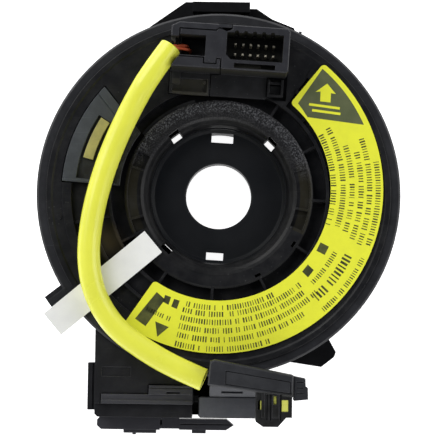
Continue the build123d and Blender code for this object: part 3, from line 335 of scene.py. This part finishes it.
# The cover over the lead's joint, in a bluer grey plastic than the rest, snapped on at the left.
# A yellow bar lies loose in its recess and keeps the joint from springing open.
COVER_GREY = (0.040, 0.045, 0.050, 1.0)
COVER_WORN = (0.110, 0.124, 0.132, 1.0)
COVER_DEEP = (0.0100, 0.0096, 0.0080, 1.0)
COVER_DEEP_R = 0.0340
COVER_FLOOR = 0.0204
BAR_YELLOW = (0.46, 0.42, 0.14, 1.0)
BAR_SOILED = (0.24, 0.22, 0.10, 1.0)


def cover_tones(made):
    """The base colour: grey, and a dark brown in the recess and towards the hub."""
    inner = made.math("LESS_THAN", made.radius(), COVER_DEEP_R)
    low = made.math("LESS_THAN", made.axes()["Z"], COVER_FLOOR)
    return made.mix(made.math("MAXIMUM", inner, low), COVER_GREY, COVER_DEEP)


dress(moulded_plastic("lead_cover_plastic", COVER_GREY, COVER_WORN, gloss=(0.40, 0.56), patches=cover_tones),
      "lead_cover")
dress(moulded_plastic("bar_plastic", BAR_YELLOW, BAR_SOILED, gloss=(0.32, 0.46), mottle=0.7, scratch=0.3),
      "lead_clip")


# The face label: a yellow polyester sticker on the disc's ribs, screen printed in dark olive.
# Its print is plain: rows of ticks, blocks, a pointer and a dark corner panel with an arrow.
LABEL_YELLOW = (0.84, 0.86, 0.045, 1.0)
LABEL_SOILED = (0.78, 0.80, 0.045, 1.0)
PRINT_OLIVE = (0.040, 0.046, 0.014, 1.0)
PRINT_THIN = (0.120, 0.125, 0.030, 1.0)
PANEL_OLIVE = (0.086, 0.102, 0.044, 1.0)
PANEL_PALE = (0.115, 0.130, 0.060, 1.0)
LABEL_TOP = 0.02085
PRINT_CENTRE = Vector((-0.00014, 0.00173))
PRINT_T = 0.00003
FILM_SCALE = 240.0
FILM_RANGE = (0.40, 0.75)
RIPPLE_SCALE = 90.0
RIPPLE_DEPTH = 0.0002
LAYOUT_STEP = 0.0002879
TICK_ROWS = [            # radius in layout steps, start and end in degrees
    (120.0, -105.5, -62.5), (126.5, -105.0, -49.4), (134.5, -105.0, -50.5), (143.0, -104.8, -46.3),
    (151.8, -104.6, -55.5), (161.0, -104.4, -71.0),
    (115.5, -17.6, 29.0), (125.0, -17.0, 29.0), (134.0, -18.0, 20.0), (143.0, -20.0, 15.0),
    (151.5, -21.0, 19.5), (160.0, -20.0, 10.0),
]
SMALL_ROWS = [(133.5, -44.5, -28.5), (160.5, -48.5, -25.5), (139.5, -119.5, -109.5)]
BOLD_ROWS = [(146.5, -47.5, -27.2)]
ROW_STEP = 2.0           # degrees between the points of a row's path, at most
TICK_LEAST = (0.55, 0.80, 1.0)
TICK_MOST = (1.45, 1.00, 1.0)
PANEL_R = 0.0458
PANEL_SPAN = (49.6, 24.2)


def sticker_film(name, colour, other, gloss):
    """Printed polyester film: faint mottling, a soft gloss and a trace of ripple."""
    made = MaterialNodes(name)
    cloud = made.noise(made.place, FILM_SCALE, detail=5.0, roughness=0.6)
    ripple = made.noise(made.place, RIPPLE_SCALE, detail=2.0)
    made.feed(made.shader["Base Color"], made.mix(made.spread(cloud, FILM_RANGE), colour, other))
    made.feed(made.shader["Roughness"], made.spread(ripple, (0.0, 1.0), *gloss))
    made.bump(ripple, strength=0.10, distance=RIPPLE_DEPTH)
    return made.material


def add_turning_piece(name, mesh):
    """Adds a finished mesh to the scene, on the turning half."""
    piece = bpy.data.objects.new(name, mesh)
    bpy.context.scene.collection.objects.link(piece)
    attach(piece, "rotor")
    return piece


def tick_tree(name):
    """Geometry Nodes: upright ticks of uneven width along each input edge path, with word gaps."""
    tree = bpy.data.node_groups.new(name, "GeometryNodeTree")
    face = tree.interface
    face.new_socket("Geometry", in_out="INPUT", socket_type="NodeSocketGeometry")
    for label in ("Pitch", "Tick width", "Tick height", "Thickness", "Filled"):
        face.new_socket(label, in_out="INPUT", socket_type="NodeSocketFloat")
    face.new_socket("Seed", in_out="INPUT", socket_type="NodeSocketInt")
    face.new_socket("Ink", in_out="INPUT", socket_type="NodeSocketMaterial")
    face.new_socket("Geometry", in_out="OUTPUT", socket_type="NodeSocketGeometry")
    given = tree.nodes.new("NodeGroupInput").outputs
    result = tree.nodes.new("NodeGroupOutput").inputs
    link = tree.links.new

    def add(kind, **settings):
        node = tree.nodes.new(kind)
        for key, value in settings.items():
            setattr(node, key, value)
        return node

    path = add("GeometryNodeMeshToCurve")
    link(given["Geometry"], path.inputs["Mesh"])
    steps = add("GeometryNodeResampleCurve", mode="LENGTH")
    link(path.outputs["Curve"], steps.inputs["Curve"])
    link(given["Pitch"], steps.inputs["Length"])
    size = add("ShaderNodeCombineXYZ")
    link(given["Tick width"], size.inputs["X"])
    link(given["Tick height"], size.inputs["Y"])
    link(given["Thickness"], size.inputs["Z"])
    tick = add("GeometryNodeMeshCube")
    link(size.outputs["Vector"], tick.inputs["Size"])
    upright = add("FunctionNodeAlignRotationToVector", axis="X", pivot_axis="Z")
    link(add("GeometryNodeInputTangent").outputs["Tangent"], upright.inputs["Vector"])
    uneven = add("FunctionNodeRandomValue", data_type="FLOAT_VECTOR")
    uneven.inputs["Min"].default_value = TICK_LEAST
    uneven.inputs["Max"].default_value = TICK_MOST
    link(given["Seed"], uneven.inputs["Seed"])
    present = add("FunctionNodeRandomValue", data_type="BOOLEAN")
    link(given["Filled"], present.inputs["Probability"])
    link(given["Seed"], present.inputs["Seed"])
    row = add("GeometryNodeInstanceOnPoints")
    link(steps.outputs["Curve"], row.inputs["Points"])
    link([s for s in present.outputs if s.enabled][0], row.inputs["Selection"])
    link(tick.outputs["Mesh"], row.inputs["Instance"])
    link(upright.outputs["Rotation"], row.inputs["Rotation"])
    link([s for s in uneven.outputs if s.enabled][0], row.inputs["Scale"])
    solid = add("GeometryNodeRealizeInstances")
    link(row.outputs["Instances"], solid.inputs["Geometry"])
    inked = add("GeometryNodeSetMaterial")
    link(solid.outputs["Geometry"], inked.inputs["Geometry"])
    link(given["Ink"], inked.inputs["Material"])
    link(inked.outputs["Geometry"], result["Geometry"])
    return tree


def print_rows(name, rows, **sizes):
    """Runs the tick tree on arcs round the label's centre and keeps the result as a plain mesh."""
    points, edges = [], []
    for steps, first, last in rows:
        count = max(2, int(abs(last - first) / ROW_STEP))
        for i in range(count + 1):
            angle = math.radians(first + (last - first) * i / count)
            spot = PRINT_CENTRE + Vector((math.cos(angle), math.sin(angle))) * steps * LAYOUT_STEP
            points.append((spot.x, spot.y, LABEL_TOP + PRINT_T / 2))
            if i:
                edges.append((len(points) - 2, len(points) - 1))
    paths = bpy.data.meshes.new(name + "_paths")
    paths.from_pydata(points, edges, [])
    maker = bpy.data.objects.new(name + "_maker", paths)
    bpy.context.scene.collection.objects.link(maker)
    ticks = maker.modifiers.new("ticks", "NODES")
    ticks.node_group = TICKS
    for item in TICKS.interface.items_tree:
        if item.in_out == "INPUT" and item.name in sizes:
            ticks[item.identifier] = sizes[item.name]
    seen = bpy.context.evaluated_depsgraph_get()
    mesh = bpy.data.meshes.new_from_object(maker.evaluated_get(seen))
    maker.modifiers.remove(ticks)
    bpy.data.objects.remove(maker)
    add_turning_piece(name, mesh)


def print_shape(name, outlines, ink, height):
    """Flat printed areas: closed outlines, a hair thick, standing on the label."""
    shape = bmesh.new()
    for outline in outlines:
        low = [shape.verts.new((x, y, LABEL_TOP)) for x, y in outline]
        high = [shape.verts.new((x, y, LABEL_TOP + height)) for x, y in outline]
        shape.faces.new(high)
        shape.faces.new(low[::-1])
        for i in range(len(low)):
            j = (i + 1) % len(low)
            shape.faces.new((low[i], low[j], high[j], high[i]))
    bmesh.ops.recalc_face_normals(shape, faces=shape.faces)
    mesh = bpy.data.meshes.new(name)
    shape.to_mesh(mesh)
    shape.free()
    mesh.materials.append(ink)
    add_turning_piece(name, mesh)


def millimetres(*points):
    """Points given in millimetres, in metres."""
    return [(x / 1000, y / 1000) for x, y in points]


def arc(radius, first, last, count):
    """Points on an arc round the label's centre."""
    angles = [math.radians(first + (last - first) * i / count) for i in range(count + 1)]
    return [(PRINT_CENTRE.x + radius * math.cos(a), PRINT_CENTRE.y + radius * math.sin(a)) for a in angles]


label_yellow = sticker_film("label_yellow_film", LABEL_YELLOW, LABEL_SOILED, (0.34, 0.46))
print_ink = sticker_film("label_print_ink", PRINT_OLIVE, PRINT_THIN, (0.40, 0.50))
panel_ink = sticker_film("label_panel_ink", PANEL_OLIVE, PANEL_PALE, (0.40, 0.50))
dress(label_yellow, "face_label")

TICKS = tick_tree("label_tick_rows")
INK = {"Thickness": PRINT_T, "Ink": print_ink}
print_rows("label_tick_lines", TICK_ROWS, Pitch=0.00074, Filled=0.88, Seed=3,
           **{"Tick width": 0.00030, "Tick height": 0.00165}, **INK)
print_rows("label_small_lines", SMALL_ROWS, Pitch=0.00070, Filled=0.90, Seed=5,
           **{"Tick width": 0.00028, "Tick height": 0.00145}, **INK)
print_rows("label_bold_line", BOLD_ROWS, Pitch=0.00110, Filled=0.95, Seed=8,
           **{"Tick width": 0.00058, "Tick height": 0.00270}, **INK)

panel_edge = arc(PANEL_R, *PANEL_SPAN, count=16)
panel_side = millimetres((25.37, 22.51), (23.9, 24.7), (22.58, 26.48))
print_shape("label_panel", [panel_edge + panel_side], panel_ink, PRINT_T)
print_shape("label_arrow", [
    millimetres((30.96, 32.32), (27.63, 29.89), (29.05, 30.0), (28.96, 27.15), (31.94, 26.84), (32.06, 29.57),
                (33.48, 29.33)),
], label_yellow, 2 * PRINT_T)
print_shape("label_panel_bars", [
    millimetres((25.7, 25.9), (25.8, 26.6), (34.7, 25.5), (34.6, 24.8)),
    millimetres((26.6, 24.2), (26.7, 24.9), (34.9, 23.9), (34.8, 23.2)),
], label_yellow, 2 * PRINT_T)
print_shape("label_blocks", [
    millimetres((-17.3, -28.5), (-14.9, -30.6), (-20.4, -38.3), (-23.4, -36.2)),
    millimetres((-14.9, -29.3), (-13.2, -29.9), (-13.9, -32.1), (-15.5, -31.3)),
    millimetres((-12.3, -30.4), (-10.7, -30.9), (-11.5, -33.3), (-13.1, -32.6)),
    millimetres((-17.6, -36.9), (-13.7, -38.5), (-17.0, -41.3)),
    millimetres((24.3, -22.1), (25.9, -20.0), (27.6, -21.6), (26.0, -23.7)),
    millimetres((28.3, -16.0), (29.5, -13.6), (31.9, -14.8), (30.7, -17.2)),
], print_ink, PRINT_T)


# The transit tape: a pale satin strip that holds the disc in its middle position until fitting.
# It is pressed down over the hub ring and the rim and stuck to the case's ear; it peels off whole.
TAPE_PALE = (0.88, 0.885, 0.87, 1.0)
TAPE_GREYED = (0.78, 0.785, 0.78, 1.0)
TAPE_CREASE = (140.0, 900.0, 140.0)
TAPE_TURN = math.radians(40.2)
TAPE_CREASE_DEPTH = 0.0001
TAPE_CLOUD_SCALE = 120.0
TAPE_CLOUD_RANGE = (0.35, 0.70)
TAPE_GLOSS = (0.30, 0.45)


def tape_film():
    """Satin film: cloudy, with faint creases across the strip."""
    made = MaterialNodes("tape_film")
    turned = {"Vector": made.place, "Rotation": (0.0, 0.0, TAPE_TURN), "Scale": TAPE_CREASE}
    crease = made.noise(made.add("Mapping", turned)["Vector"], 1.0, detail=3.0)
    cloud = made.spread(made.noise(made.place, TAPE_CLOUD_SCALE, detail=4.0), TAPE_CLOUD_RANGE)
    made.feed(made.shader["Base Color"], made.mix(cloud, TAPE_PALE, TAPE_GREYED))
    made.feed(made.shader["Roughness"], made.spread(crease, (0.0, 1.0), *TAPE_GLOSS))
    made.bump(crease, strength=0.2, distance=TAPE_CREASE_DEPTH)
    return made.material


dress(tape_film(), "transit_tape")


# Inside the case: the wound flat cable of clear film over copper, its two moulded joints,
# and the low-friction sheet that the cable's edge slides on.
CABLE_CLEAR = (0.45, 0.48, 0.47, 1.0)
CABLE_COPPER = (0.50, 0.30, 0.16, 1.0)
SHEET_GREY = (0.40, 0.41, 0.42, 1.0)
SHEET_RUBBED = (0.30, 0.31, 0.32, 1.0)
dress(moulded_plastic("cable_film", CABLE_CLEAR, CABLE_COPPER, gloss=(0.2, 0.3), mottle=0.7), "flat_cable")
dress(moulded_plastic("slip_film", SHEET_GREY, SHEET_RUBBED), "slip_sheet")
dress(moulded_plastic("joint_plastic", DISC_BLACK, DISC_WORN), "inner_cable_joint", "outer_cable_joint")


# The connector block at the lower left: a black moulding whose two sockets open to the rear.
# A stepped strip snaps over its face, and a long low strip with a pointed end is clipped in front.
BLOCK_BLACK = (0.0090, 0.0090, 0.0105, 1.0)
BLOCK_WORN = (0.042, 0.043, 0.048, 1.0)
STRIP_BLACK = (0.046, 0.046, 0.053, 1.0)
STRIP_WORN = (0.085, 0.087, 0.094, 1.0)
dress(moulded_plastic("block_plastic", BLOCK_BLACK, BLOCK_WORN, gloss=(0.34, 0.48)), "connector_block")
# The strips' arrises are painted strongly pale: rubbed wear and a painted highlight along the block's front
# edge.
dress(moulded_plastic("block_strip_plastic", STRIP_BLACK, STRIP_WORN, gloss=(0.24, 0.38), edge=0.9),
      "block_cover", "block_clip")


# The joint box beside the block, moulded in a shinier charcoal plastic with a snapped-in lid.
# The lid's sloped front facet catches the light, and the lid is painted a lighter grey as a painted
# highlight.
BOX_GREY = (0.0110, 0.0115, 0.0140, 1.0)
BOX_WORN = (0.060, 0.063, 0.070, 1.0)
LID_HIGHLIGHT_GREY = (0.105, 0.108, 0.120, 1.0)
LID_WORN = (0.200, 0.205, 0.220, 1.0)
dress(moulded_plastic("joint_box_plastic", BOX_GREY, BOX_WORN, gloss=(0.26, 0.38), grain_depth=0.04),
      "joint_box")
dress(moulded_plastic("joint_lid_plastic", LID_HIGHLIGHT_GREY, LID_WORN, gloss=(0.10, 0.20), grain_depth=0.04),
      "joint_box_lid")


# The airbag lead's two wires: thin, stranded copper in orange-red PVC.
# They leave the sleeve's open end and dip into the connector's window.
WIRE_RED = (0.62, 0.120, 0.050, 1.0)
WIRE_SHADE = (0.20, 0.022, 0.010, 1.0)
dress(moulded_plastic("wire_pvc", WIRE_RED, WIRE_SHADE, gloss=(0.22, 0.36), scratch=0.1, edge=0.0),
      "lead_wires")


# The airbag lead's sleeve: a soft yellow PVC tube pushed over the two wires.
# It leaves the connector's window, bends round the left of the disc and ends at the plug.
SLEEVE_ROUTE_MM = [
    (-14.3, 41.1, 27.2), (-20.0, 33.0, 29.05), (-25.3, 23.8, 26.05), (-29.9, 14.0, 24.55),
    (-33.4, 4.0, 24.45), (-36.0, -7.0, 24.45), (-37.1, -18.5, 24.45), (-35.2, -29.2, 24.45),
    (-29.4, -38.6, 24.45), (-20.4, -45.1, 24.45), (-11.5, -50.0, 24.45), (-3.6, -53.2, 25.15),
]
SLEEVE_D = 0.0065
SLEEVE_WALL = 0.0006
SLEEVE_YELLOW = (0.84, 0.85, 0.085, 1.0)
SLEEVE_SHADE = (0.76, 0.78, 0.075, 1.0)
SLEEVE_BORE_SHADE = (0.020, 0.020, 0.010, 1.0)
SOIL_SCALE = 60.0
SOIL_RANGE = (0.38, 0.72)
SLEEVE_GLOSS = (0.20, 0.32)
SLEEVE_GRAIN_SCALE = 900.0
SLEEVE_GRAIN_DEPTH = 0.00006
SLEEVE_STEPS = 12        # between two points of the route
SLEEVE_SIDES = 10


def sleeve_pvc(name, colour, shade):
    """Soft PVC: slight soiling, a fine grain and a waxy gloss."""
    made = MaterialNodes(name)
    cloud = made.noise(made.place, SOIL_SCALE, detail=5.0, roughness=0.6)
    made.feed(made.shader["Base Color"], made.mix(made.spread(cloud, SOIL_RANGE), colour, shade))
    made.feed(made.shader["Roughness"], made.spread(cloud, (0.0, 1.0), *SLEEVE_GLOSS))
    grain = made.noise(made.place, SLEEVE_GRAIN_SCALE, detail=2.0)
    made.bump(grain, strength=0.10, distance=SLEEVE_GRAIN_DEPTH)
    return made.material


sleeve_line = bpy.data.curves.new("lead_sleeve_tube", "CURVE")
sleeve_line.dimensions = "3D"
spline = sleeve_line.splines.new("NURBS")
spline.points.add(len(SLEEVE_ROUTE_MM) - 1)
for point, route_point in zip(spline.points, SLEEVE_ROUTE_MM):
    point.co = [along / 1000 for along in route_point] + [1.0]
spline.order_u = 3
spline.use_endpoint_u = True
spline.resolution_u = SLEEVE_STEPS
sleeve_line.resolution_u = SLEEVE_STEPS
sleeve_line.bevel_depth = SLEEVE_D / 2
sleeve_line.bevel_resolution = SLEEVE_SIDES
sleeve_line.use_fill_caps = True
sleeve = bpy.data.objects.new("lead_sleeve_tube", sleeve_line)
bpy.context.scene.collection.objects.link(sleeve)
sleeve_material = sleeve_pvc("sleeve_pvc", SLEEVE_YELLOW, SLEEVE_SHADE)
sleeve_line.materials.append(sleeve_material)
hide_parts("lead_sleeve")
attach(sleeve, "rotor")

# The sleeve's two cut ends: a rounded lip round a flat disc painted dark as the shade in the bore.
END_PROFILE = [          # radius and distance beyond the cut
    (SLEEVE_D / 2, 0.0), (SLEEVE_D / 2 - 0.00010, 0.00018), (SLEEVE_D / 2 - 0.00030, 0.00024),
    (SLEEVE_D / 2 - SLEEVE_WALL, 0.00012), (SLEEVE_D / 2 - SLEEVE_WALL - 0.00005, 0.00003), (0.0, 0.00003),
]
END_SIDES = 32
bore_shade = sleeve_pvc("sleeve_bore_painted_shade", SLEEVE_BORE_SHADE, SLEEVE_BORE_SHADE)
for name, tip, before in (("sleeve_mouth_window", SLEEVE_ROUTE_MM[0], SLEEVE_ROUTE_MM[1]),
                          ("sleeve_mouth_plug", SLEEVE_ROUTE_MM[-1], SLEEVE_ROUTE_MM[-2])):
    tip = Vector(tip) / 1000
    out = (tip - Vector(before) / 1000).normalized()
    across = out.orthogonal().normalized()
    upward = out.cross(across)
    mouth = bmesh.new()
    rings = []
    for radius, beyond in END_PROFILE[:-1]:
        ring = []
        for i in range(END_SIDES):
            angle = 2 * math.pi * i / END_SIDES
            spoke = across * math.cos(angle) + upward * math.sin(angle)
            ring.append(mouth.verts.new(tip + out * beyond + spoke * radius))
        rings.append(ring)
    centre = mouth.verts.new(tip + out * END_PROFILE[-1][1])
    for inner, outer in zip(rings[1:], rings):
        for i in range(END_SIDES):
            j = (i + 1) % END_SIDES
            mouth.faces.new((outer[i], outer[j], inner[j], inner[i]))
    for i in range(END_SIDES):
        # the disc over the bore is painted dark as shade
        dark = mouth.faces.new((rings[-1][i], rings[-1][(i + 1) % END_SIDES], centre))
        dark.material_index = 1
    for face in mouth.faces:
        face.smooth = True
    mesh = bpy.data.meshes.new(name)
    mouth.to_mesh(mesh)
    mouth.free()
    mesh.materials.append(sleeve_material)
    mesh.materials.append(bore_shade)
    add_turning_piece(name, mesh)


# The plug on the lead's end: a charcoal housing with a snapped cover and a nose square to it.
# A yellow insert holds its two contacts, and a ribbed slider at the end locks it.
PLUG_GREY = (0.0165, 0.0175, 0.0205, 1.0)
PLUG_WORN = (0.062, 0.064, 0.071, 1.0)
NOSE_BLACK = (0.0035, 0.0034, 0.0028, 1.0)
NOSE_EDGE = -0.0562
INSERT_YELLOW = (0.62, 0.63, 0.12, 1.0)
INSERT_SOILED = (0.42, 0.43, 0.08, 1.0)


def plug_tones(made):
    """The base colour: charcoal on the body, near black on the nose."""
    return made.mix(made.math("LESS_THAN", made.axes()["Y"], NOSE_EDGE), PLUG_GREY, NOSE_BLACK)


dress(moulded_plastic("plug_plastic", PLUG_GREY, PLUG_WORN, gloss=(0.36, 0.50), patches=plug_tones),
      "squib_housing")
dress(moulded_plastic("plug_cover_plastic", PLUG_GREY, PLUG_WORN, gloss=(0.38, 0.52)),
      "squib_cover", "squib_lock")
dress(moulded_plastic("insert_plastic", INSERT_YELLOW, INSERT_SOILED, gloss=(0.34, 0.48)), "squib_insulator")


# Studio: a pale seamless table that glows a little from below, one broad soft light from the
# upper left and two fills. The room is bright near the horizon and dim overhead.
FLOOR_HALF = 1.5
FLOOR_PALE = (0.90, 0.90, 0.90, 1.0)
FLOOR_GREYED = (0.87, 0.87, 0.87, 1.0)
FLOOR_GLOW = 0.95
FLOOR_ROUGHNESS = 0.9
FLOOR_MOTTLE_SCALE = 6.0
LIGHTS = [               # name, place, size in metres, power in watts
    ("key_light", (-0.75, 0.75, 0.75), 1.1, 13.5),
    ("right_light", (0.95, 0.25, 0.65), 0.8, 5.0),
    ("front_light", (0.10, -1.00, 0.60), 0.9, 5.0),
]
LIGHTS_AIM = Vector((0, 0, 0.02))
HORIZON = (0.56, 0.56, 0.56, 1.0)
OVERHEAD = (0.055, 0.058, 0.068, 1.0)
HORIZON_AT = 0.45        # places on the ramp, which runs with the direction's Z
OVERHEAD_AT = 0.85

floor_mesh = bpy.data.meshes.new("floor")
floor_corners = [(-FLOOR_HALF, -FLOOR_HALF, 0), (FLOOR_HALF, -FLOOR_HALF, 0),
                 (FLOOR_HALF, FLOOR_HALF, 0), (-FLOOR_HALF, FLOOR_HALF, 0)]
floor_mesh.from_pydata(floor_corners, [], [(0, 1, 2, 3)])
floor = bpy.data.objects.new("floor", floor_mesh)
bpy.context.scene.collection.objects.link(floor)
floor_paper = MaterialNodes("floor_paper")
mottle = floor_paper.noise(floor_paper.place, FLOOR_MOTTLE_SCALE, detail=3.0)
floor_paper.feed(floor_paper.shader["Base Color"], floor_paper.mix(mottle, FLOOR_PALE, FLOOR_GREYED))
floor_paper.feed(floor_paper.shader["Roughness"], FLOOR_ROUGHNESS)
floor_paper.feed(floor_paper.shader["Emission Color"], (1.0, 1.0, 1.0, 1.0))
floor_paper.feed(floor_paper.shader["Emission Strength"], FLOOR_GLOW)
floor_mesh.materials.append(floor_paper.material)

for name, place, size, power in LIGHTS:
    lamp_data = bpy.data.lights.new(name, "AREA")
    lamp_data.energy = power
    lamp_data.size = size
    lamp = bpy.data.objects.new(name, lamp_data)
    lamp.location = place
    lamp.rotation_euler = (LIGHTS_AIM - Vector(place)).to_track_quat("-Z", "Y").to_euler()
    bpy.context.scene.collection.objects.link(lamp)

world = bpy.data.worlds.new("studio")
world.use_nodes = True
sky = world.node_tree
sky_place = sky.nodes.new("ShaderNodeTexCoord")
sky_split = sky.nodes.new("ShaderNodeSeparateXYZ")
sky_ramp = sky.nodes.new("ShaderNodeValToRGB")
sky.links.new(sky_place.outputs["Generated"], sky_split.inputs["Vector"])
sky.links.new(sky_split.outputs["Z"], sky_ramp.inputs["Fac"])
sky.links.new(sky_ramp.outputs["Color"], sky.nodes["Background"].inputs["Color"])
sky_ramp.color_ramp.elements[0].color = HORIZON
sky_ramp.color_ramp.elements[0].position = HORIZON_AT
sky_ramp.color_ramp.elements[1].color = OVERHEAD
sky_ramp.color_ramp.elements[1].position = OVERHEAD_AT
bpy.context.scene.world = world
bpy.context.scene.view_settings.view_transform = "Standard"
